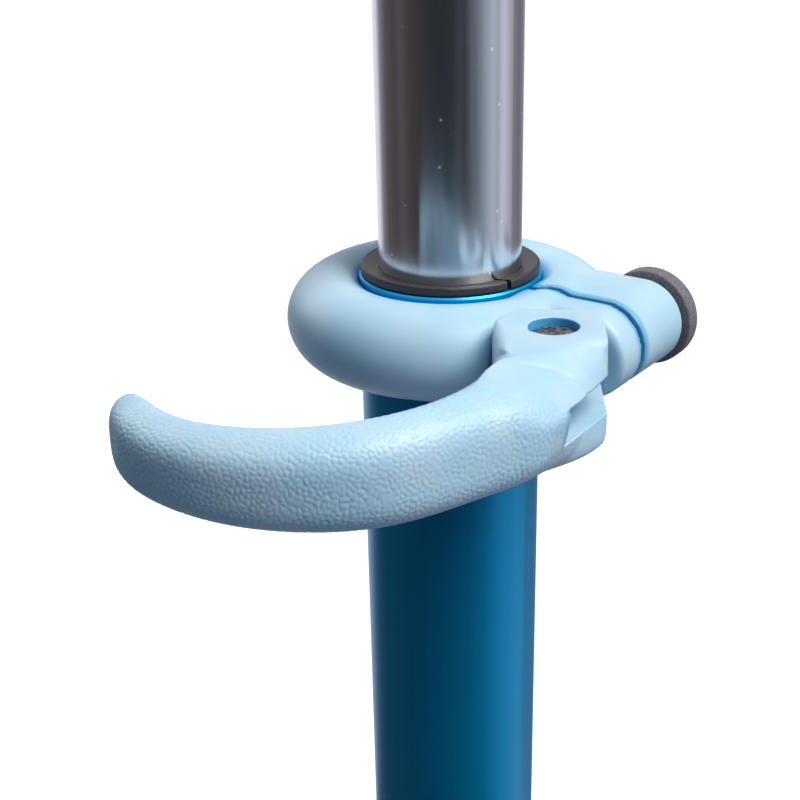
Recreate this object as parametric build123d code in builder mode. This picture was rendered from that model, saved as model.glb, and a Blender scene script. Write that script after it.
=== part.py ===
"""Quick-release lock of a telescopic handle pole, with the pole's two tubes.

Millimetres. Z runs up the pole, and the origin is the centre of the lower end of the outer tube.
The clamp's ears point along +X, its cross screw runs along Y, and its lever swings about
an upright barrel in front of the front ear, on the -Y side.
"""
from build123d import *
from math import asin, atan2, cos, degrees, radians, sin, sqrt
import os

# Tubes
outer_tube_diameter = 32.0
outer_tube_wall = 1.5
outer_tube_length = 150.0
inner_tube_diameter = 25.0
inner_tube_wall = 1.5
inner_tube_length = 150.0
inner_tube_rise = 52.0          # how far the inner tube stands above the outer tube's rim
socket_depth = 25.0             # turned seat for the spigot of the next pole section
socket_relief = 0.25            # how much wider that seat's radius is than the tube's bore
tube_edge_break = 0.3

# Squeeze slots through the rim of the outer tube
slot_width = 2.0
slot_length = 20.0
slot_angles = (80.0, 170.0)

# Split bush that fills the gap between the tubes
bush_length = 30.0
bush_flange_radius = 15.7
bush_flange_thickness = 1.7
bush_dish_width = 2.6
bush_dish_depth = 0.6
bush_slit_width = 0.9
bush_slit_angle = -17.0
bush_edge = 0.5
bush_key_margin = 0.2           # the key in the squeeze slot stops this far inside the tube's edge

# Guide ring that turns in a groove near the foot of the inner tube
guide_length = 12.0
guide_groove_depth = 0.45
guide_foot = 8.0                # plain tube left below the groove
guide_slit_width = 1.2

# Clamp collar
collar_rim_drop = 7.7           # from the outer tube's rim down to the middle of the clamp
ring_section_radius = 8.0
ring_bulge_radius = 28.9        # outermost radius of the ring
ear_half_height = 7.4
ear_gap = 1.4
front_ear_thickness = 6.3
rear_ear_thickness = 14.3
ear_blend = 3.0
spot_face_margin = 4.6          # around the hand nut, where the ring is cut back for it
ear_edge = 1.2
screw_reach = 30.6              # from the pole's axis to the screw's axis

# Cam lever, with its plan laid out from the barrel's axis
barrel_reach = 16.8             # from the split plane to the barrel's axis
barrel_diameter = 7.9
barrel_recess = 1.4             # how far its ends lie below the lever's faces
head_half_height = 8.6
lever_drop = 0.3                # the lever's middle lies this far below the clamp's
cam_radius = 9.5
cam_relief = 0.9                # around the cam, where the ring is cut away for it
seat_flat_reach = 8.1           # from the barrel's axis to the flat that seats on the closed clamp's ear
seat_flat_angle = 119.5         # direction of that flat's normal
side_face_angle = 33.3          # the lower face that meets the ear once the lever is open
side_face_reach = 8.0
grip_centre = (-26.4, -26.5)    # centre of the grip's curve, from the barrel's axis
grip_radius = 29.1              # to the grip's middle line
grip_inner_side = 3.1           # from the middle line to the hollow side
grip_outer_side = 5.2           # and to the bulging side
wall_corner = (10.9, -2.0)      # where the head's outer wall meets its side face
wall_middle = (10.7, -8.6)
wall_end = (6.9, -18.0)
wall_heading = (0.1, -1.0)
wall_end_heading = (-0.4, -0.92)
wall_crown = 3.0                # rounding from that wall up to the head's flat top
wall_edge = 1.2
neck_inside = (-3.6, -11.2)     # hollow between the head and the grip
neck_inside_heading = (-0.5, 0.87)
grip_section = (                # shares of a section's width and half height
    (0.0, 0.0), (0.03, 0.70), (0.22, 0.99), (0.58, 0.94), (0.90, 0.66), (1.0, 0.0),
    (0.90, -0.66), (0.58, -0.94), (0.22, -0.99), (0.03, -0.70),
)
neck_stations = (               # inner point, outer point and half height of the grip's first sections
    ((-6.0, 0.4), (8.2, 0.9), 8.2),
    (neck_inside, (12.4, -12.2), 8.3),
    ((-0.9, -22.5), (11.3, -24.2), 8.3),
)
grip_progress = (               # angle, half height, and how far the two sides draw in
    (-14.0, 8.0, 0.0, 0.0),
    (-35.0, 7.8, 0.0, 0.0),
    (-55.0, 7.4, 0.0, 0.0),
    (-76.0, 6.9, 0.0, 0.0),
    (-96.0, 6.45, 0.0, 0.3),
    (-107.0, 6.4, 0.0, 0.9),
    (-115.0, 6.25, 0.2, 1.7),
    (-120.5, 5.8, 0.9, 2.5),
    (-124.2, 4.5, 2.0, 3.4),
)
cam_back_angle = 215.0
slot_floor = -16.0
slot_inner_corner = 5.5
head_edge = 0.9
lever_slot_height = 5.9

# Cross screw and its hand nut
screw_diameter = 5.0
screw_hole_clearance = 0.25
screw_tail = 3.1                # how far the screw runs past the barrel's axis
screw_end_gap = 0.3             # between the screw's end and the hand nut's blind wall
washer_radius = 6.0
washer_thickness = 1.0
seat_depth = 2.6                # counterbore in the rear ear for the washer and the hand nut's neck
hand_nut_radius = 8.4
hand_nut_thickness = 3.5
hand_nut_lift = 0.25            # running gap between the hand nut and the rear ear
hand_nut_back = 1.2             # wall behind the pressed-in hexagon
hand_nut_edge = 0.9
hexagon_across_flats = 8.0
nut_neck_overlap = 0.5          # how far the neck is run into the knob so that they join

# Clearances
slide_fit = 0.06
running_fit = 0.05
seat_fit = 0.05
body_gap = 0.35

# Sizes that follow
outer_radius = outer_tube_diameter / 2
outer_bore_radius = outer_radius - outer_tube_wall
inner_radius = inner_tube_diameter / 2
inner_bore_radius = inner_radius - inner_tube_wall
inner_tube_foot = outer_tube_length + inner_tube_rise - inner_tube_length
clamp_height = outer_tube_length - collar_rim_drop
ring_centre_radius = ring_bulge_radius - ring_section_radius
front_face = -ear_gap / 2 - front_ear_thickness
rear_face = ear_gap / 2 + rear_ear_thickness
screw_radius = screw_diameter / 2
barrel_radius = barrel_diameter / 2
flat_edge_angle = degrees(asin(sqrt(cam_radius ** 2 - seat_flat_reach ** 2) / cam_radius))
flat_start_angle = seat_flat_angle + flat_edge_angle
flat_end_angle = seat_flat_angle - flat_edge_angle
side_start_angle = side_face_angle + degrees(asin(sqrt(cam_radius ** 2 - side_face_reach ** 2) / cam_radius))
guide_groove_radius = inner_radius - guide_groove_depth

os.makedirs("parts", exist_ok=True)


def polar(radius, angle):
    """Point at a radius and an angle in degrees."""
    return (radius * cos(radians(angle)), radius * sin(radians(angle)))


def save(piece, name):
    """Label a finished piece and write its file."""
    piece.label = name
    export_step(piece, f"parts/{name}.step")


# Planes through the middle of the clamp
clamp_plane = Plane.XY.offset(clamp_height)
lever_plane = Plane(origin=(screw_reach, -barrel_reach, clamp_height - lever_drop))


# Outer tube: plain tube with a turned seat at its foot and two squeeze slots in its rim
with BuildPart() as outer_tube:
    with BuildSketch():
        Circle(outer_radius)
        Circle(outer_bore_radius, mode=Mode.SUBTRACT)
    extrude(amount=outer_tube_length)
    with BuildSketch():
        Circle(outer_bore_radius + socket_relief)
    extrude(amount=socket_depth, mode=Mode.SUBTRACT)
    outer_rims = outer_tube.edges().filter_by(GeomType.CIRCLE).filter_by(
        lambda rim: abs(rim.radius - outer_radius) < 1e-4)
    chamfer(outer_rims, tube_edge_break)
    for slot_angle in slot_angles:
        slot_wall = Plane(origin=(0, 0, outer_tube_length), x_dir=(*polar(1, slot_angle + 90), 0),
                          z_dir=(*polar(1, slot_angle), 0))
        with BuildSketch(slot_wall):
            SlotCenterToCenter(2 * (slot_length - slot_width / 2), slot_width, rotation=90)
        extrude(amount=outer_radius + 1, mode=Mode.SUBTRACT)
save(outer_tube.part, "outer_tube")


# Inner tube: slides and turns in the bush, with a groove near its foot for the guide ring
guide_bottom = inner_tube_foot + guide_foot
with BuildPart() as inner_tube:
    with BuildSketch(Plane.XY.offset(inner_tube_foot)):
        Circle(inner_radius)
        Circle(inner_bore_radius, mode=Mode.SUBTRACT)
    extrude(amount=inner_tube_length)
    inner_rims = inner_tube.edges().filter_by(GeomType.CIRCLE).filter_by(
        lambda rim: abs(rim.radius - inner_radius) < 1e-4)
    chamfer(inner_rims, tube_edge_break)
    with BuildSketch(Plane.XY.offset(guide_bottom)):
        Circle(inner_radius + 1)
        Circle(guide_groove_radius, mode=Mode.SUBTRACT)
    extrude(amount=guide_length, mode=Mode.SUBTRACT)
save(inner_tube.part, "inner_tube")


# Guide ring: split plastic ring that keeps the foot of the inner tube centred
with BuildPart() as guide_ring:
    with BuildSketch(Plane.XY.offset(guide_bottom + running_fit)):
        Circle(outer_bore_radius - slide_fit)
        Circle(guide_groove_radius + running_fit, mode=Mode.SUBTRACT)
    extrude(amount=guide_length - 2 * running_fit)
    ring_rims = guide_ring.edges().filter_by(GeomType.CIRCLE).filter_by(
        lambda rim: abs(rim.radius - outer_bore_radius + slide_fit) < 1e-4)
    chamfer(ring_rims, tube_edge_break)
    with BuildSketch(Plane.XY.offset(guide_bottom)):
        with Locations((outer_bore_radius, 0)):
            Rectangle(outer_bore_radius, guide_slit_width)
    extrude(amount=guide_length, mode=Mode.SUBTRACT)
save(guide_ring.part, "guide_ring")


# Tube bush: split sleeve with a dished flange that caps the outer tube's rim
bush_bore_radius = inner_radius + slide_fit
sleeve_radius = outer_bore_radius - seat_fit
key_reach = outer_radius - tube_edge_break - bush_key_margin
flange_bottom = outer_tube_length + seat_fit
flange_top = flange_bottom + bush_flange_thickness
sleeve_bottom = outer_tube_length - bush_length
with BuildPart() as tube_bush:
    with BuildSketch(Plane.XZ):
        with BuildLine():
            Polyline(
                (bush_bore_radius, sleeve_bottom),
                (sleeve_radius, sleeve_bottom),
                (sleeve_radius, flange_bottom),
                (bush_flange_radius, flange_bottom),
                (bush_flange_radius, flange_top),
                (bush_bore_radius + bush_dish_width, flange_top),
                (bush_bore_radius, flange_top - bush_dish_depth),
                close=True)
        make_face()
    revolve(axis=Axis.Z)
    flange_rims = tube_bush.edges().filter_by(GeomType.CIRCLE).filter_by(
        lambda rim: abs(rim.radius - bush_flange_radius) < 1e-4)
    fillet(flange_rims, bush_edge)
    with BuildSketch(Plane.XY.offset(outer_tube_length - slot_length / 2)):
        with BuildLine():
            Line(polar(inner_radius, slot_angles[0]), polar(key_reach, slot_angles[0]))
        trace(line_width=slot_width - 2 * seat_fit)
    extrude(amount=slot_length / 2)
    with BuildSketch(Plane.XY.offset(sleeve_bottom)):
        with BuildLine():
            Line((0, 0), polar(2 * bush_flange_radius, bush_slit_angle))
        trace(line_width=bush_slit_width)
        Circle(bush_bore_radius)
    extrude(amount=2 * bush_length, mode=Mode.SUBTRACT)
save(tube_bush.part, "tube_bush")


# Ears of the collar, with the rear one running into the ring in a hollow curve
blend_y = rear_face + ear_blend
blend_x = sqrt((ring_bulge_radius + ear_blend) ** 2 - blend_y ** 2)
blend_angle = degrees(atan2(blend_y, blend_x))
with BuildPart(mode=Mode.PRIVATE) as ears:
    with BuildSketch(clamp_plane):
        with Locations((outer_radius, front_face)):
            Rectangle(screw_reach + ear_half_height - outer_radius, rear_face - front_face,
                      align=(Align.MIN, Align.MIN))
        with BuildLine():
            Polyline((outer_radius, 0), polar(ring_bulge_radius, blend_angle), (blend_x, blend_y),
                     (blend_x, rear_face - 1), (blend_x, 0), close=True)
        make_face()
        with Locations((blend_x, blend_y)):
            Circle(ear_blend, mode=Mode.SUBTRACT)
    extrude(amount=ear_half_height, both=True)
    with BuildSketch(Plane.XZ.offset(-blend_y)):
        with Locations((screw_reach, clamp_height)):
            Circle(ear_half_height)
        with Locations((screw_reach, clamp_height)):
            Rectangle(screw_reach - outer_radius, 2 * ear_half_height, align=(Align.MAX, Align.CENTER))
    extrude(amount=blend_y - front_face, mode=Mode.INTERSECT)
    ear_rims = ears.edges().filter_by(GeomType.CIRCLE).filter_by(
        lambda rim: rim.center().X > screw_reach and abs(rim.radius - ear_half_height) < 1e-4)
    fillet(ear_rims, ear_edge)

# Clamp collar: round-section ring with the two ears, split between them
rear_seat = rear_face - seat_depth
with BuildPart() as clamp_collar:
    with BuildSketch(Plane.XZ):
        with Locations((ring_centre_radius, clamp_height)):
            Circle(ring_section_radius)
    revolve(axis=Axis.Z)
    add(ears.part)
    with BuildSketch(clamp_plane.offset(-2 * ring_section_radius)):
        Circle(outer_radius + seat_fit)
        with Locations((0, 0)):
            Rectangle(2 * screw_reach, ear_gap, align=(Align.MIN, Align.CENTER))
    extrude(amount=4 * ring_section_radius, mode=Mode.SUBTRACT)
    with BuildSketch(clamp_plane):
        with Locations((screw_reach, -barrel_reach)):
            Circle(cam_radius + cam_relief)
        with Locations((screw_reach, front_face)):
            Rectangle(2 * screw_reach, 2 * screw_reach, align=(Align.CENTER, Align.MAX),
                      mode=Mode.INTERSECT)
    extrude(amount=2 * ring_section_radius, both=True, mode=Mode.SUBTRACT)
    with BuildSketch(Plane.XZ.offset(-rear_seat)):
        with Locations((screw_reach, clamp_height)):
            Circle(washer_radius + body_gap)
    extrude(amount=-seat_depth - 1, mode=Mode.SUBTRACT)
    with BuildSketch(Plane.XZ.offset(-rear_face)):
        with Locations((screw_reach, clamp_height)):
            Circle(hand_nut_radius + spot_face_margin)
    extrude(amount=-ring_bulge_radius, mode=Mode.SUBTRACT)
    with BuildSketch(Plane.XZ.offset(-rear_face)):
        with Locations((screw_reach, clamp_height)):
            Circle(screw_radius + screw_hole_clearance)
    extrude(amount=2 * rear_face, mode=Mode.SUBTRACT)
save(clamp_collar.part, "clamp_collar")


# Grip of the lever: curved bar with a section that bulges outwards, lofted from the head to the tip
def on_grip(offset, angle):
    """Point beside the middle line of the grip, seen from the barrel's axis."""
    step_x, step_y = polar(grip_radius + offset, angle)
    return (grip_centre[0] + step_x, grip_centre[1] + step_y)


grip_stations = list(neck_stations)
for station_angle, half_height, inner_draw, outer_draw in grip_progress:
    grip_stations.append((on_grip(inner_draw - grip_inner_side, station_angle),
                          on_grip(grip_outer_side - outer_draw, station_angle), half_height))
with BuildPart(mode=Mode.PRIVATE) as grip:
    for inside, outside, half_height in grip_stations:
        across = (outside[0] - inside[0], outside[1] - inside[1])
        width = sqrt(across[0] ** 2 + across[1] ** 2)
        station = Plane(origin=(screw_reach + inside[0], inside[1] - barrel_reach, lever_plane.origin.Z),
                        x_dir=(*across, 0), z_dir=(across[1], -across[0], 0))
        with BuildSketch(station):
            with BuildLine():
                Spline(*[(width * u, half_height * v) for u, v in grip_section], periodic=True)
            make_face()
    loft()

# Cam lever: the cam head joined to the grip, bored for the barrel and slotted for the screw
with BuildPart() as cam_lever:
    with BuildSketch(lever_plane):
        with BuildLine():
            CenterArc((0, 0), cam_radius, flat_start_angle, cam_back_angle - flat_start_angle)
            Line(polar(cam_radius, flat_start_angle), polar(cam_radius, flat_end_angle))
            ThreePointArc(polar(cam_radius, flat_end_angle),
                          polar(cam_radius, (flat_end_angle + side_start_angle) / 2),
                          polar(cam_radius, side_start_angle))
            Line(polar(cam_radius, side_start_angle), wall_corner)
            Spline(wall_corner, wall_middle, wall_end, tangents=(wall_heading, wall_end_heading))
            Line(wall_end, neck_inside)
            Spline(neck_inside, polar(cam_radius, cam_back_angle),
                   tangents=(neck_inside_heading, polar(1, cam_back_angle - 90)))
        make_face()
    extrude(amount=head_half_height, both=True)
    head_corners = cam_lever.edges().filter_by(Axis.Z).filter_by(
        lambda edge: edge.center().Y > -barrel_reach + 2)
    fillet(head_corners, head_edge)
    wall_rims = cam_lever.edges().filter_by(GeomType.BSPLINE).filter_by(
        lambda edge: edge.center().X > screw_reach + cam_radius)
    fillet(wall_rims.sort_by(Axis.Z)[-1], wall_crown)
    fillet(cam_lever.edges().filter_by(GeomType.BSPLINE).filter_by(
        lambda edge: edge.center().X > screw_reach + cam_radius).sort_by(Axis.Z)[0], wall_edge)
    head_rims = cam_lever.faces().filter_by(Axis.Z).edges().filter_by(
        lambda edge: edge.center().Y > -barrel_reach - 1 and edge.center().X < screw_reach + cam_radius / 2)
    fillet(head_rims, head_edge / 2)
    add(grip.part)
    with BuildSketch(lever_plane.offset(-2 * head_half_height)):
        Circle(barrel_radius + running_fit)
    extrude(amount=4 * head_half_height, mode=Mode.SUBTRACT)
    with BuildSketch(lever_plane.offset(-lever_slot_height / 2)):
        Polygon((2 * cam_radius, slot_floor), (slot_inner_corner, slot_floor),
                (-slot_inner_corner, -cam_radius / 3), (-2 * cam_radius, -cam_radius / 3),
                (-2 * cam_radius, 2 * cam_radius), (2 * cam_radius, 2 * cam_radius), align=None)
    extrude(amount=lever_slot_height, mode=Mode.SUBTRACT)
save(cam_lever.part, "cam_lever")


# Barrel: upright pin in the lever, cross drilled for the screw
barrel_half_length = head_half_height - barrel_recess
with BuildPart() as pivot_barrel:
    with BuildSketch(lever_plane.offset(-barrel_half_length)):
        Circle(barrel_radius)
    extrude(amount=2 * barrel_half_length)
    barrel_rims = pivot_barrel.edges().filter_by(GeomType.CIRCLE)
    chamfer(barrel_rims, tube_edge_break)
    with BuildSketch(Plane.XZ.offset(barrel_reach - barrel_diameter)):
        with Locations((screw_reach, clamp_height)):
            Circle(screw_radius + seat_fit)
    extrude(amount=barrel_diameter + screw_tail + seat_fit, mode=Mode.SUBTRACT)
save(pivot_barrel.part, "pivot_barrel")


# Cross screw: runs from the barrel through both ears into the hand nut
nut_face = rear_seat + washer_thickness + 3 * seat_fit
hand_nut_face = rear_face + hand_nut_lift
hand_nut_back_face = hand_nut_face + hand_nut_thickness
hexagon_end = hand_nut_back_face - hand_nut_back
screw_end = hexagon_end - screw_end_gap
with BuildPart() as clamp_screw:
    with BuildSketch(Plane.XZ.offset(-screw_end)):
        with Locations((screw_reach, clamp_height)):
            Circle(screw_radius)
    extrude(amount=screw_end + barrel_reach + screw_tail)
    screw_rims = clamp_screw.edges().filter_by(GeomType.CIRCLE)
    chamfer(screw_rims, 2 * tube_edge_break)
save(clamp_screw.part, "clamp_screw")


# Washer at the bottom of the rear ear's counterbore
with BuildPart() as seat_washer:
    with BuildSketch(Plane.XZ.offset(-rear_seat - seat_fit)):
        with Locations((screw_reach, clamp_height)):
            Circle(washer_radius)
            Circle(screw_radius + seat_fit, mode=Mode.SUBTRACT)
    extrude(amount=-washer_thickness)
save(seat_washer.part, "seat_washer")


# Hexagon nut pressed into the hand nut
hexagon_radius = hexagon_across_flats / 2 / cos(radians(30))
with BuildPart() as thread_insert:
    with BuildSketch(Plane.XZ.offset(-nut_face - seat_fit)):
        with Locations((screw_reach, clamp_height)):
            RegularPolygon(hexagon_radius, 6)
            Circle(screw_radius + running_fit, mode=Mode.SUBTRACT)
    extrude(amount=-(hexagon_end - nut_face - 2 * seat_fit))
save(thread_insert.part, "thread_insert")


# Hand nut: plain round knob with a neck that runs in the rear ear
with BuildPart() as hand_nut:
    with BuildSketch(Plane.XZ.offset(-hand_nut_face)):
        with Locations((screw_reach, clamp_height)):
            Circle(hand_nut_radius)
    extrude(amount=-hand_nut_thickness)
    knob_rims = hand_nut.edges().filter_by(GeomType.CIRCLE)
    fillet(knob_rims.sort_by(Axis.Y)[-1], hand_nut_edge)
    fillet(hand_nut.edges().filter_by(GeomType.CIRCLE).sort_by(Axis.Y)[0], hand_nut_edge / 3)
    with BuildSketch(Plane.XZ.offset(-nut_face)):
        with Locations((screw_reach, clamp_height)):
            Circle(washer_radius)
    extrude(amount=-(hand_nut_face - nut_face + nut_neck_overlap))
    with BuildSketch(Plane.XZ.offset(-nut_face)):
        with Locations((screw_reach, clamp_height)):
            RegularPolygon(hexagon_radius + seat_fit, 6)
    extrude(amount=-(hexagon_end - nut_face), mode=Mode.SUBTRACT)
save(hand_nut.part, "hand_nut")
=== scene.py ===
"""Looks of the telescopic pole clamp, dressed over its CAD frame. Metres, Z up the pole."""
from math import atan2, cos, degrees, radians, sin

import bpy
import numpy as np
from mathutils import Matrix, Vector
from mathutils.kdtree import KDTree
from mathutils.noise import noise_vector


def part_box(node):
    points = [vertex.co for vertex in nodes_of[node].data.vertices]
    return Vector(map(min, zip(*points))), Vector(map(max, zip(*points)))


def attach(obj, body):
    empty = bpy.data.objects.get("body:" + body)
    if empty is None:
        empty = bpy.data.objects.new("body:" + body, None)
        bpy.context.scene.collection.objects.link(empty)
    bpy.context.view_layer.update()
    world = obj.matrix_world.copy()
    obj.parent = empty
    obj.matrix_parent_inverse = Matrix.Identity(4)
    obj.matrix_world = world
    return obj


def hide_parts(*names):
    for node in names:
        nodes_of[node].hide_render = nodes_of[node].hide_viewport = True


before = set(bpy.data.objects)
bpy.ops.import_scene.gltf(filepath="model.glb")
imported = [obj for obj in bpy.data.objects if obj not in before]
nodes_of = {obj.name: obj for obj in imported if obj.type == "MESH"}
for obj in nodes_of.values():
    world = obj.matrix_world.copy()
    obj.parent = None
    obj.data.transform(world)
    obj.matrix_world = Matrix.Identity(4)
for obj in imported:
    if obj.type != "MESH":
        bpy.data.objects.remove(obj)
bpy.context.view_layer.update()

scene = bpy.context.scene

# ---------------------------------------------------------------- places taken from the frame
tube_low, tube_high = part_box("outer_tube")
TUBE_RADIUS = (tube_high[0] - tube_low[0]) / 2
collar_low, collar_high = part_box("clamp_collar")
CLAMP_HEIGHT = (collar_low[2] + collar_high[2]) / 2
RING_BULGE = -collar_low[0]
SECTION_RADIUS = (collar_high[2] - collar_low[2]) / 2
RING_CENTRE = RING_BULGE - SECTION_RADIUS
PIN = Vector([(low + high) / 2 for low, high in zip(*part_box("pivot_barrel"))])


def add_object(name, data):
    """New object in the scene."""
    obj = bpy.data.objects.new(name, data)
    scene.collection.objects.link(obj)
    return obj


# ---------------------------------------------------------------- camera
CAMERA_AT = Vector((0.13272, -0.19661, 0.22562))
HEADING = radians(36.2667)
LOOK_DOWN = radians(22.9406)
ROLL = radians(1.2589)
LENS = 63.54                # millimetres, as Blender has it
SENSOR_WIDTH = 36.0
NEAREST_SEEN = 0.01


def make_camera():
    """Camera at the photograph's viewing angle."""
    right = Vector((cos(HEADING), sin(HEADING), 0))
    down = Vector((sin(HEADING) * sin(LOOK_DOWN), -cos(HEADING) * sin(LOOK_DOWN), -cos(LOOK_DOWN)))
    ahead = Vector((-sin(HEADING) * cos(LOOK_DOWN), cos(HEADING) * cos(LOOK_DOWN), -sin(LOOK_DOWN)))
    x_axis = right * cos(ROLL) + down * sin(ROLL)
    y_axis = right * sin(ROLL) - down * cos(ROLL)
    data = bpy.data.cameras.new("camera")
    data.lens = LENS
    data.sensor_width = SENSOR_WIDTH
    data.clip_start = NEAREST_SEEN
    camera = add_object("camera", data)
    turn = Matrix((x_axis, y_axis, -ahead)).transposed().to_4x4()
    camera.matrix_world = Matrix.Translation(CAMERA_AT) @ turn
    scene.camera = camera


make_camera()
scene.view_settings.view_transform = "Standard"


# ---------------------------------------------------------------- shader helpers
class Graph:
    """Short way to write the node tree of a material or of the world."""

    def __init__(self, owner, output="ShaderNodeOutputMaterial"):
        owner.use_nodes = True
        self.owner = owner
        self.tree = owner.node_tree
        self.tree.nodes.clear()
        self.output = self.add(output)
        self.coords = None

    def add(self, kind, inputs=None, **settings):
        """Node with these settings, and with these values or links at its inputs."""
        node = self.tree.nodes.new(kind)
        for key, value in settings.items():
            setattr(node, key, value)
        for key, value in (inputs or {}).items():
            self.put(node.inputs[key], value)
        return node

    def put(self, socket, value):
        """Link another node's socket, or set a value on the socket itself."""
        if isinstance(value, bpy.types.NodeSocket):
            self.tree.links.new(value, socket)
        else:
            socket.default_value = value

    def place(self):
        """Position on the piece at rest, in metres."""
        if self.coords is None:
            self.coords = self.add("ShaderNodeTexCoord").outputs["Object"]
        return self.coords

    def attribute(self, name):
        """Value stored on the mesh under this name."""
        return self.add("ShaderNodeAttribute", attribute_name=name).outputs["Fac"]

    def math(self, operation, a, b):
        return self.add("ShaderNodeMath", {0: a, 1: b}, operation=operation).outputs[0]

    def noise(self, scale, detail=2.0, roughness=0.5, vector=None):
        node = self.add("ShaderNodeTexNoise", {"Vector": vector or self.place(), "Scale": scale,
                                               "Detail": detail, "Roughness": roughness})
        return node.outputs["Fac"]

    def streaks(self, across, along, detail, roughness):
        """Noise drawn out along Z, as drawing a tube through a die leaves it."""
        x, y, z = self.add("ShaderNodeSeparateXYZ", {"Vector": self.place()}).outputs
        drawn_out = self.add("ShaderNodeCombineXYZ", {"X": self.math("MULTIPLY", x, across),
                                                      "Y": self.math("MULTIPLY", y, across),
                                                      "Z": self.math("MULTIPLY", z, along)})
        return self.noise(1.0, detail, roughness, drawn_out.outputs[0])

    def span(self, value, a, b, low=0.0, high=1.0, smooth=True):
        """Carry a value's range from a to b over to low to high."""
        node = self.add("ShaderNodeMapRange", {"Value": value, "From Min": a, "From Max": b,
                                               "To Min": low, "To Max": high},
                        interpolation_type="SMOOTHSTEP" if smooth else "LINEAR")
        return node.outputs["Result"]

    def mix(self, factor, a, b):
        """Colour between a and b."""
        node = self.add("ShaderNodeMix", data_type="RGBA")
        self.put(node.inputs["Factor"], factor)
        for socket, value in ((node.inputs[6], a), (node.inputs[7], b)):
            self.put(socket, value if isinstance(value, bpy.types.NodeSocket) else (*value, 1.0))
        return node.outputs[2]

    def bump(self, height, distance, strength):
        node = self.add("ShaderNodeBump", {"Height": height, "Distance": distance, "Strength": strength})
        return node.outputs["Normal"]

    def background_ray(self):
        """1 for the rays that see the background, 0 for those that light the object."""
        path = self.add("ShaderNodeLightPath").outputs
        seen = self.math("MAXIMUM", path["Is Camera Ray"], path["Is Glossy Ray"])
        return self.math("MAXIMUM", seen, path["Is Transmission Ray"])

    def surface(self, shader):
        """Give this shader to the output, and return the material or the world."""
        self.put(self.output.inputs["Surface"], shader.outputs[0])
        return self.owner

    def principled(self, **inputs):
        """Principled surface with these inputs, where an underscore stands for a space."""
        named = {key.replace("_", " "): value for key, value in inputs.items()}
        return self.surface(self.add("ShaderNodeBsdfPrincipled", named))


def new_material(name):
    return Graph(bpy.data.materials.new(name))


def paint(obj, material):
    obj.data.materials.clear()
    obj.data.materials.append(material)


# ---------------------------------------------------------------- materials
SKY = (0.51, 0.70, 0.83)
SKY_DEEP = (0.43, 0.665, 0.82)
# painted shade: the saturated blue painted into crevices and nooks
SKY_PAINTED_SHADE = (0.02, 0.36, 0.68)
TUBE_BLUE = (0.0, 0.325, 0.64)
TUBE_BLUE_DEEP = (0.0, 0.30, 0.60)
CHROME = (0.78, 0.78, 0.82)
CHROME_DUST = (0.72, 0.72, 0.76)
SPECKS_PER_METRE = 330.0
SPECKLESS_SHARE = 0.72      # of the places where a speck could be


def sky_plastic(name):
    """Pale blue moulding plastic, with painted shade: a deeper, saturated blue where it is close to another
    piece.
    """
    g = new_material(name)
    cloud = g.span(g.noise(90.0, 3.0), 0.35, 0.65)
    # painted shade: the colour runs to the saturated blue where the stored crevice mask is high
    colour = g.mix(g.attribute("painted_nook_shade"), g.mix(cloud, SKY_DEEP, SKY), SKY_PAINTED_SHADE)
    roughness = g.span(g.noise(600.0, 3.0), 0.3, 0.7, 0.38, 0.48)
    return g.principled(Base_Color=colour, Roughness=roughness,
                        Normal=g.bump(g.noise(9000.0, 2.0), 0.00002, 0.35), Subsurface_Weight=0.25,
                        Subsurface_Radius=(0.2, 0.7, 1.2), Subsurface_Scale=0.0022)


def blue_tube():
    """Blue anodised tube with faint streaks along it."""
    g = new_material("tube_blue")
    drawn = g.streaks(500.0, 12.0, 2.0, 0.4)
    colour = g.mix(g.span(drawn, 0.2, 0.8), TUBE_BLUE_DEEP, TUBE_BLUE)
    return g.principled(Base_Color=colour, Metallic=0.62, Roughness=g.span(drawn, 0.2, 0.8, 0.30, 0.34),
                        Normal=g.bump(g.noise(4000.0, 2.0), 0.000004, 0.3))


def chrome():
    """Chromed tube with fine streaks along it and a few specks of dust."""
    g = new_material("tube_chrome")
    drawn = g.streaks(1500.0, 20.0, 3.0, 0.6)
    specks = g.add("ShaderNodeTexVoronoi", {"Vector": g.place(), "Scale": SPECKS_PER_METRE})
    speck = g.span(specks.outputs["Distance"], 0.02, 0.13, 0.6, 0.0)
    draw_of_speck = g.add("ShaderNodeSeparateColor", {"Color": specks.outputs["Color"]}).outputs[0]
    dust = g.math("MULTIPLY", speck, g.math("GREATER_THAN", draw_of_speck, SPECKLESS_SHARE))
    polish = g.span(drawn, 0.2, 0.8, 0.15, 0.19)
    return g.principled(Base_Color=g.mix(dust, CHROME, CHROME_DUST),
                        Metallic=g.math("SUBTRACT", 1.0, dust),
                        Roughness=g.math("ADD", polish, g.math("MULTIPLY", dust, 0.4)),
                        Anisotropic=0.8, Anisotropic_Rotation=0.25,
                        Tangent=g.add("ShaderNodeTangent", direction_type="RADIAL", axis="Z").outputs[0],
                        Normal=g.bump(drawn, 0.000004, 0.3))


def dark_plastic(name, dark, light, grain, rough=(0.42, 0.55), depth=0.00004):
    """Moulded plastic with a fine spotted grain of this many spots per metre."""
    g = new_material(name)
    spots = g.noise(grain, 3.0, 0.65)
    colour = g.mix(g.span(spots, 0.35, 0.7), dark, light)
    return g.principled(Base_Color=colour, Roughness=g.span(spots, 0.3, 0.7, *rough),
                        Normal=g.bump(spots, depth, 0.6))


def metal(name, dark, light, rough, grain=2500.0):
    """Dull metal, cloudy between two colours."""
    g = new_material(name)
    spots = g.noise(grain, 3.0, 0.6)
    colour = g.mix(g.span(spots, 0.35, 0.65), dark, light)
    return g.principled(Base_Color=colour, Metallic=0.9,
                        Roughness=g.span(spots, 0.3, 0.7, rough, rough + 0.12),
                        Normal=g.bump(spots, 0.00001, 0.5))


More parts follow.
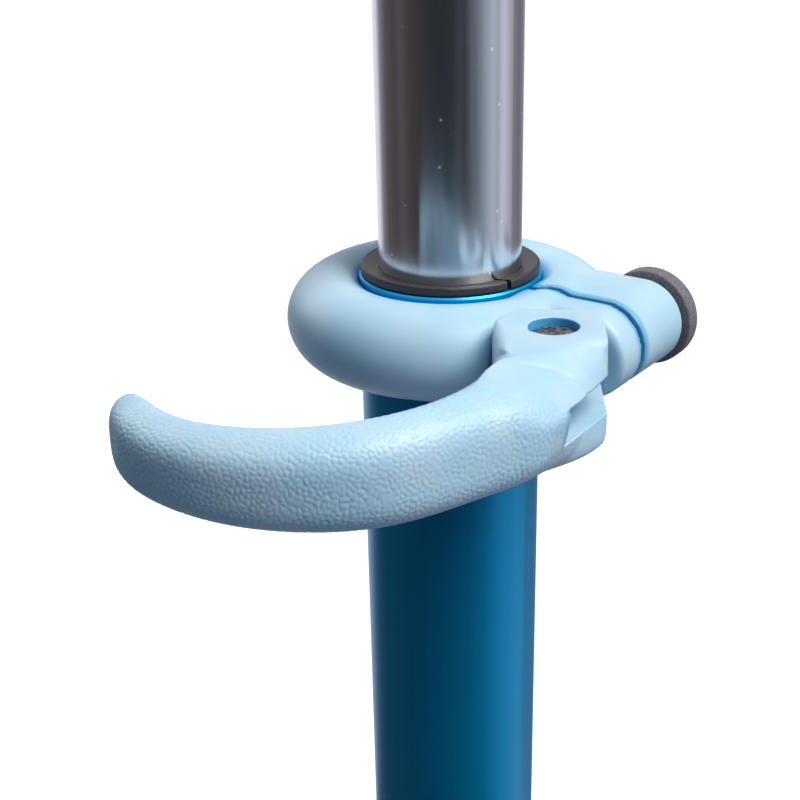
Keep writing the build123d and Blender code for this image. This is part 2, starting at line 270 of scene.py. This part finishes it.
paint(nodes_of["outer_tube"], blue_tube())
paint(nodes_of["inner_tube"], chrome())
paint(nodes_of["guide_ring"],
      dark_plastic("guide_black", (0.02, 0.02, 0.022), (0.035, 0.034, 0.037), 1800.0))
paint(nodes_of["tube_bush"],
      dark_plastic("bush_black", (0.022, 0.019, 0.023), (0.036, 0.032, 0.038), 1200.0, (0.42, 0.5), 0.00001))
paint(nodes_of["hand_nut"],
      dark_plastic("knob_grey", (0.11, 0.095, 0.11), (0.24, 0.215, 0.245), 3000.0, (0.5, 0.7), 0.00006))
paint(nodes_of["pivot_barrel"],
      metal("barrel_black", (0.03, 0.03, 0.032), (0.30, 0.29, 0.30), 0.45, 1600.0))
paint(nodes_of["clamp_screw"], metal("screw_steel", (0.25, 0.25, 0.26), (0.35, 0.35, 0.36), 0.3))
paint(nodes_of["seat_washer"], metal("washer_zinc", (0.5, 0.5, 0.52), (0.62, 0.62, 0.64), 0.3))
paint(nodes_of["thread_insert"], metal("insert_brass", (0.55, 0.40, 0.18), (0.65, 0.48, 0.22), 0.3))


# ---------------------------------------------------------------- mesh helpers
def dressed(node, name, voxel):
    """Fine, even copy of a CAD node's mesh that stands for the node."""
    mesh = nodes_of[node].data.copy()
    mesh.name = name
    obj = add_object(name, mesh)
    modifier = obj.modifiers.new("remesh", "REMESH")
    modifier.mode = "VOXEL"
    modifier.voxel_size = voxel
    modifier.adaptivity = 0.0
    modifier.use_smooth_shade = True
    graph = bpy.context.evaluated_depsgraph_get()
    fine = bpy.data.meshes.new_from_object(obj.evaluated_get(graph), depsgraph=graph)
    fine.name = name
    obj.modifiers.clear()
    obj.data = fine
    for face in fine.polygons:
        face.use_smooth = True
    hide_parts(node)
    return obj


def rows_of(collection, key, width, kind):
    """What the members of a mesh's collection hold under a key, one row for each."""
    flat = np.empty(width * len(collection), kind)
    collection.foreach_get(key, flat)
    return flat.reshape(-1, width)


def points_of(mesh):
    return rows_of(mesh.vertices, "co", 3, np.float64)


def links_of(mesh):
    return rows_of(mesh.edges, "vertices", 2, np.int32)


def normals_of(mesh):
    return rows_of(mesh.vertices, "normal", 3, np.float32).astype(float)


def put_points(mesh, points):
    mesh.vertices.foreach_set("co", points.astype(np.float32).ravel())
    mesh.update()


def store(mesh, name, values):
    """Keep a value for each vertex, for the material."""
    layer = mesh.attributes.new(name, "FLOAT", "POINT")
    layer.data.foreach_set("value", np.asarray(values, np.float32))


def rise(value, low, high):
    """0 up to low, 1 from high on, and smooth between."""
    t = np.clip((value - low) / (high - low), 0, 1)
    return t * t * (3 - 2 * t)


def fall(value, low, high):
    """1 up to low, 0 from high on, and smooth between."""
    return 1 - rise(value, low, high)


def sum_round(values, links, count):
    """Sum of the values of each point's neighbours."""
    return (np.bincount(links[:, 0], values[links[:, 1]], count)
            + np.bincount(links[:, 1], values[links[:, 0]], count))


SMOOTHING_SHARE = 0.63      # a step towards the neighbours' middle
SWELLING_SHARE = -0.60      # and the step back that keeps the piece from shrinking
EVEN_ALL_OVER = 0.8         # weight of the last smoothing, which takes off the remesh's steps


def relax(points, links, weight, rounds):
    """Even out the surface where weight is above 0, without shrinking it much."""
    count = np.bincount(links.ravel(), minlength=len(points))
    for share in (SMOOTHING_SHARE, SWELLING_SHARE) * rounds:
        total = np.column_stack([sum_round(column, links, len(points)) for column in points.T])
        points = points + (total / count[:, None] - points) * (weight * share)[:, None]
    return points


def spread(points, links, weight, rounds):
    """Plain smoothing where weight is above 0, which fills sharp hollows and rounds corners."""
    count = np.bincount(links.ravel(), minlength=len(points))
    near = weight > 0.001
    used = links[near[links[:, 0]] | near[links[:, 1]]]
    for _ in range(rounds):
        for axis in range(3):
            value = points[:, axis]
            middle = sum_round(value, used, len(points)) / count
            points[near, axis] += (middle - value)[near] * weight[near]
    return points


# ---------------------------------------------------------------- collar
COLLAR_VOXEL = 0.00035
SEAM_BAND = (0.0012, 0.0032)        # how close to the ring's round section a point is on the seam
EAR_ROOTS = (0.012, 0.018)          # how far out from the pole's axis the ears begin
BORE_MARGIN = (0.0004, 0.0020)      # outside the tube, where the bore's rim stays as it is
SPLIT_MARGIN = (0.0009, 0.0030)     # beside the split between the ears
CAM_ROOM = 0.0116                   # radius round the barrel that the cam turns in
NOOK_SHADE_MARGIN = (0.0003, 0.0022)      # outside the tube, where painted shade makes the plastic look deeper
# beside the split between the ears, where painted shade deepens the plastic
SPLIT_SHADE_MARGIN = (0.0012, 0.0022)


def make_collar():
    """Collar whose ears run into its ring in one smooth flow."""
    collar = dressed("clamp_collar", "collar_body", COLLAR_VOXEL)
    points = points_of(collar.data)
    links = links_of(collar.data)
    from_pole = np.hypot(points[:, 0], points[:, 1])
    from_pin = np.hypot(points[:, 0] - PIN.x, points[:, 1] - PIN.y)
    height = points[:, 2] - CLAMP_HEIGHT
    to_ring = np.abs(np.hypot(from_pole - RING_CENTRE, height) - SECTION_RADIUS)
    seam = fall(to_ring, *SEAM_BAND) * rise(points[:, 0], *EAR_ROOTS)
    seam *= rise(from_pole - TUBE_RADIUS, *BORE_MARGIN)
    seam *= rise(np.abs(points[:, 1]), *SPLIT_MARGIN)
    seam[(points[:, 1] < 0) & (from_pin < CAM_ROOM)] = 0
    points = relax(points, links, seam, 60)
    points = relax(points, links, np.full(len(points), EVEN_ALL_OVER), 3)
    put_points(collar.data, points)
    from_pole = np.hypot(points[:, 0], points[:, 1])
    # painted shade: crevice mask along the tube's bore and the split between the ears, stored for the
    # material
    painted_nook_shade = fall(from_pole - TUBE_RADIUS, *NOOK_SHADE_MARGIN)
    split = fall(np.abs(points[:, 1]), *SPLIT_SHADE_MARGIN) * (points[:, 0] > 0.010)
    store(collar.data, "painted_nook_shade", np.clip(0.9 * painted_nook_shade + 0.7 * split, 0, 1))
    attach(collar, "pole")
    paint(collar, sky_plastic("collar_sky"))


# ---------------------------------------------------------------- lever
LEVER_VOXEL = 0.00022
GRAIN_DEPTH = 0.00008
PEBBLE_SIZE = 0.00080
PEBBLE_SEED = 7
CROWDING = 0.72             # of a pebble's size, squared, within which no second one starts
WOBBLE = 0.00030            # how far the pebbles' outlines wander
WOBBLE_LENGTH = 0.0011
SLOT_HALF_HEIGHT = 0.0032
SLOT_END = 0.0166           # down the grip from the barrel's axis
WALL_CELL = 0.0004
WALL_START = -0.0004        # the stretch of the wall that is drawn in, down the grip
WALL_STOP = 0.0300
WALL_FOOT = -0.0084         # and by height
WALL_TOP = 0.0086
WALL_FADE_IN = (0.0002, 0.0022)
WALL_FADE_OUT = (0.0170, 0.0270)
WALL_SKIN = (0.0055, 0.0012)    # depths under the wall where the draw begins and is full
BORE_SKIN = (0.0050, 0.0068)    # distance from the barrel's axis over which it grows
WALL_ALONG = (0.0, 0.0035, 0.0075, 0.0115, 0.0160, 0.0210, 0.0260)      # from the pin down the grip
WALL_REACH = {                                                          # reach of the outer wall by height
    -0.0088: (0.0108, 0.0109, 0.0107, 0.0094, 0.0077, 0.0062, 0.0045),
    -0.0060: (0.0107, 0.0110, 0.0110, 0.0108, 0.0102, 0.0094, 0.0083),
    -0.0032: (0.0105, 0.0108, 0.0110, 0.0112, 0.0113, 0.0110, 0.0102),
    0.0026: (0.0103, 0.0109, 0.0115, 0.0120, 0.0123, 0.0120, 0.0111),
    0.0056: (0.0096, 0.0099, 0.0101, 0.0101, 0.0098, 0.0091, 0.0080),
    0.0082: (0.0084, 0.0079, 0.0066, 0.0051, 0.0037, 0.0025, 0.0012),
}


def wall_now(side, along, height, rows, levels):
    """Reach of the outer wall as it is, by place down the grip and by height, across the slot's mouth."""
    reach = np.full((len(rows), len(levels)), -1.0)
    i = np.rint((along - rows[0]) / WALL_CELL).astype(int)
    j = np.rint((height - levels[0]) / WALL_CELL).astype(int)
    inside = (i >= 0) & (i < len(rows)) & (j >= 0) & (j < len(levels)) & (side > 0)
    np.maximum.at(reach, (i[inside], j[inside]), side[inside])
    for row, place in enumerate(rows):
        known = reach[row] > 0
        if place < SLOT_END:
            known &= np.abs(levels) > SLOT_HALF_HEIGHT
        reach[row] = np.interp(levels, levels[known], reach[row][known])
    return reach


def wall_wanted(rows, levels):
    """Reach that the outer wall should have, at the same places."""
    heights = sorted(WALL_REACH)
    by_place = np.array([np.interp(rows, WALL_ALONG, WALL_REACH[h]) for h in heights]).T
    return np.array([np.interp(levels, heights, line) for line in by_place])


def blurred(grid, rounds):
    """Grid with each value mixed with those beside it, along both axes."""
    kernel = np.array((1, 4, 6, 4, 1)) / 16.0
    for _ in range(rounds):
        for axis, edge in ((0, ((2, 2), (0, 0))), (1, ((0, 0), (2, 2)))):
            grid = np.apply_along_axis(np.convolve, axis, np.pad(grid, edge, "edge"), kernel, "valid")
    return grid


def flow_wall(points):
    """Draw the head's outer wall and the start of the grip into one even surface."""
    side = points[:, 0] - PIN.x
    along = PIN.y - points[:, 1]
    height = points[:, 2] - PIN.z
    rows = np.arange(WALL_START, WALL_STOP, WALL_CELL)
    levels = np.arange(WALL_FOOT, WALL_TOP, WALL_CELL)
    now = wall_now(side, along, height, rows, levels)
    drawn = rise(rows, *WALL_FADE_IN) * fall(rows, *WALL_FADE_OUT)
    shift = blurred((wall_wanted(rows, levels) - now) * drawn[:, None], 3)
    u = np.clip((along - rows[0]) / WALL_CELL, 0, len(rows) - 1.001)
    v = np.clip((height - levels[0]) / WALL_CELL, 0, len(levels) - 1.001)
    i, j = u.astype(int), v.astype(int)
    u, v = u - i, v - j

    def at_points(grid):
        return ((grid[i, j] * (1 - u) + grid[i + 1, j] * u) * (1 - v)
                + (grid[i, j + 1] * (1 - u) + grid[i + 1, j + 1] * u) * v)

    surface = at_points(now)
    deep, shallow = WALL_SKIN
    share = rise(side, surface - deep, surface - shallow)
    share *= rise(np.hypot(side, along), *BORE_SKIN)
    moved = points.copy()
    moved[:, 0] += at_points(shift) * share
    return moved


def nearest_two(points, seeds):
    """Distances from each point to its nearest and second nearest seed."""
    tree = KDTree(len(seeds))
    for index, seed in enumerate(seeds):
        tree.insert(seed, index)
    tree.balance()
    found = np.empty((len(points), 2))
    for row, point in zip(found, points):
        (_, _, near), (_, _, far) = tree.find_n(point, 2)
        row[0] = near
        row[1] = far
    return found


def wobble(points):
    """Small smooth shift of each point that makes the pebbles uneven."""
    return np.array([noise_vector(point) for point in (points / WOBBLE_LENGTH).tolist()]) * WOBBLE


def scattered(points, spacing, seed):
    """Some of these points, no two closer together than about spacing."""
    random = np.random.default_rng(seed)
    kept = {}
    cells = np.floor(points / spacing).astype(int)
    for index in random.permutation(len(points)):
        cell = tuple(cells[index])
        close = False
        for step in np.ndindex(3, 3, 3):
            other = kept.get(tuple(c + s - 1 for c, s in zip(cell, step)))
            if other is None:
                continue
            if np.sum((points[other] - points[index]) ** 2) < spacing * spacing * CROWDING:
                close = True
                break
        if not close and cell not in kept:
            kept[cell] = index
    return points[list(kept.values())]


def soften_lever(points, links, side, down, height):
    """Run the head into the grip, fill the sharp hollow between them and round the wall's foot."""
    from_pin = np.hypot(side, down)
    off_slot = rise(np.abs(height), SLOT_HALF_HEIGHT, 0.0046)
    off_slot = np.maximum(off_slot, rise(down, 0.0172, 0.0185))
    off_slot = np.maximum(off_slot, side < 0)
    seam = rise(down, 0.001, 0.005) * fall(down, 0.018, 0.026)
    seam *= rise(from_pin, 0.0052, 0.0066) * off_slot
    hollow = rise(-side, 0.001, 0.004) * rise(down, 0.002, 0.006)
    hollow *= fall(down, 0.016, 0.024)
    foot = rise(side, 0.005, 0.008) * rise(-height, 0.0038, 0.0058)
    foot *= fall(down, 0.020, 0.028)
    points = relax(points, links, seam, 30)
    points = spread(points, links, 0.6 * hollow, 140)
    points = spread(points, links, 0.6 * foot, 110)
    return relax(points, links, np.full(len(points), EVEN_ALL_OVER), 2)


def pebbles(points):
    """How deep the groove between the pebbles is at each point, from 0 to 1."""
    near, far = nearest_two(points + wobble(points), scattered(points, PEBBLE_SIZE, PEBBLE_SEED)).T
    groove = fall((far - near) / PEBBLE_SIZE, 0.02, 0.50)
    uneven = 0.55 + 0.45 * np.clip(1.0 + 1.8 * wobble(points * 0.6)[:, 0] / WOBBLE, 0, 2)
    return groove * uneven


def make_lever():
    """Lever with a pebbled grip, smooth on its head."""
    lever = dressed("cam_lever", "lever_body", LEVER_VOXEL)
    points = flow_wall(points_of(lever.data))
    side = points[:, 0] - PIN.x
    down = PIN.y - points[:, 1]
    height = points[:, 2] - PIN.z
    from_pin = np.hypot(side, down)
    points = soften_lever(points, links_of(lever.data), side, down, height)
    put_points(lever.data, points)
    normals = normals_of(lever.data)
    plate = rise(normals[:, 2], 0.80, 0.97) * fall(from_pin, 0.012, 0.020)
    cam_side = fall(down, 0.000, 0.004)
    slot = fall(np.abs(height), 0.0030, 0.0033) * fall(down, 0.0165, 0.0172)
    slot *= side > -0.002
    bore = fall(from_pin, 0.0041, 0.0044) * (np.abs(normals[:, 2]) < 0.6)
    grain = (1 - plate) * (1 - cam_side) * (1 - slot) * (1 - bore)
    grain *= np.maximum(0.12 + 0.28 * rise(height, -0.002, 0.003), rise(from_pin, 0.012, 0.026))
    points -= normals * (pebbles(points) * grain * GRAIN_DEPTH)[:, None]
    put_points(lever.data, points)
    # painted shade: crevice mask on the slot's walls and in the barrel's bore, stored for the material
    store(lever.data, "painted_nook_shade", 0.5 * slot * (normals[:, 2] < 0.5) + 0.9 * bore)
    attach(lever, "lever")
    paint(lever, sky_plastic("lever_sky"))


make_collar()
make_lever()


# ---------------------------------------------------------------- floor, backdrop and light
WHITE = (1.0, 1.0, 1.0, 1.0)
FLOOR_HALF_WIDTH = 3.0
FLOOR_COLOUR = (0.25, 0.26, 0.33, 1.0)      # what light falls on, so that the object's shadow shows
FLOOR_LIFT = 0.98                           # what brings it up to white where it is seen
WORLD_COLOUR = (0.42, 0.80, 1.0, 1.0)
WORLD_LEVEL = 0.13
LIT_POINT = Vector((0.0, -0.02, 0.14))
SCREEN_RADIUS = 0.42
SCREEN_HEIGHT = 0.50
SCREEN_FOOT = 0.0008                        # height of the screens' part that lies along the floor
SCREEN_GAP = 0.001                          # between that part and the tube
SCREEN_COLD = (0.70, 0.82, 1.0)
SCREEN_WARM = (1.0, 0.86, 0.88)
SCREEN_LEVELS = (                           # degrees round from the camera, and brightness
    (-180, 1.0), (-142, 0.9), (-128, 0.25), (-112, 0.10), (-90, 0.07), (-78, 0.10), (-62, 0.06),
    (-36, 0.04), (-15, 0.03), (8, 0.035), (16, 0.06), (24, 0.045), (44, 0.19), (60, 0.45),
    (70, 0.62), (78, 0.50), (90, 0.75), (100, 0.62), (112, 0.32), (132, 0.20), (155, 0.30), (180, 1.0),
)
SCREEN_WARMTH = ((-120, 0), (-100, 1), (-50, 1), (-20, -1), (60, -1), (100, 0))


def make_floor():
    """Floor that looks white and keeps the object's shadow."""
    half = FLOOR_HALF_WIDTH
    mesh = bpy.data.meshes.new("floor")
    corners = [(-half, -half, 0), (half, -half, 0), (half, half, 0), (-half, half, 0)]
    mesh.from_pydata(corners, [], [(0, 1, 2, 3)])
    floor = add_object("floor", mesh)
    g = new_material("floor_white")
    diffuse = g.add("ShaderNodeBsdfDiffuse", {"Color": FLOOR_COLOUR})
    strength = g.math("MULTIPLY", g.background_ray(), FLOOR_LIFT)
    lift = g.add("ShaderNodeEmission", {"Color": WHITE, "Strength": strength})
    both = g.add("ShaderNodeAddShader", {0: diffuse.outputs[0], 1: lift.outputs[0]})
    paint(floor, g.surface(both))


def make_world():
    """World that looks white, but lights the object with a low blue light."""
    scene.world = bpy.data.worlds.new("world")
    g = Graph(scene.world, "ShaderNodeOutputWorld")
    low = g.add("ShaderNodeBackground", {"Color": WORLD_COLOUR, "Strength": WORLD_LEVEL})
    white = g.add("ShaderNodeBackground", {"Color": WHITE, "Strength": 1.0})
    g.surface(g.add("ShaderNodeMixShader", {0: g.background_ray(), 1: low.outputs[0], 2: white.outputs[0]}))


def soft_box(name, at, size, power, colour):
    """Soft lamp of this size, aimed at the middle of the clamp."""
    data = bpy.data.lights.new(name, "AREA")
    data.shape = "RECTANGLE"
    data.size, data.size_y = size
    data.energy = power
    data.color = colour
    at = Vector(at)
    aim = (LIT_POINT - at).to_track_quat("-Z", "Y").to_matrix().to_4x4()
    add_object(name, data).matrix_world = Matrix.Translation(at) @ aim


def make_screens():
    """Dark and pale screens round the pole that only reflections see: along the floor, then upright."""
    angles = np.arange(-180, 181, 3)
    ring = np.radians(angles + degrees(atan2(CAMERA_AT.y, CAMERA_AT.x)))
    across = np.column_stack((np.cos(ring), np.sin(ring)))
    profile = ((TUBE_RADIUS + SCREEN_GAP, SCREEN_FOOT), (SCREEN_RADIUS, SCREEN_FOOT),
               (SCREEN_RADIUS, SCREEN_HEIGHT))
    rows = [np.column_stack((radius * across, np.full(len(ring), height))) for radius, height in profile]
    count = len(ring)
    faces = [(k * count + i, k * count + i + 1, (k + 1) * count + i + 1, (k + 1) * count + i)
             for k in range(len(profile) - 1) for i in range(count - 1)]
    mesh = bpy.data.meshes.new("screen")
    mesh.from_pydata(np.concatenate(rows).tolist(), [], faces)
    for name, values in (("level", SCREEN_LEVELS), ("warmth", SCREEN_WARMTH)):
        store(mesh, name, np.tile(np.interp(angles, *zip(*values)), len(profile)))
    screen = add_object("screen", mesh)
    for ray in ("camera", "diffuse", "transmission", "volume_scatter", "shadow"):
        setattr(screen, "visible_" + ray, False)
    g = new_material("screen")
    warm = g.span(g.attribute("warmth"), -1.0, 1.0, smooth=False)
    light = g.add("ShaderNodeEmission", {"Color": g.mix(warm, SCREEN_COLD, SCREEN_WARM),
                                         "Strength": g.attribute("level")})
    paint(screen, g.surface(light))


make_floor()
make_world()
make_screens()
soft_box("key", (0.50, 0.02, 0.80), (0.45, 0.45), 8.3, (1.0, 0.985, 0.96))
soft_box("side", (-0.80, 0.05, 0.50), (0.4, 0.6), 2.2, (0.88, 0.93, 1.0))
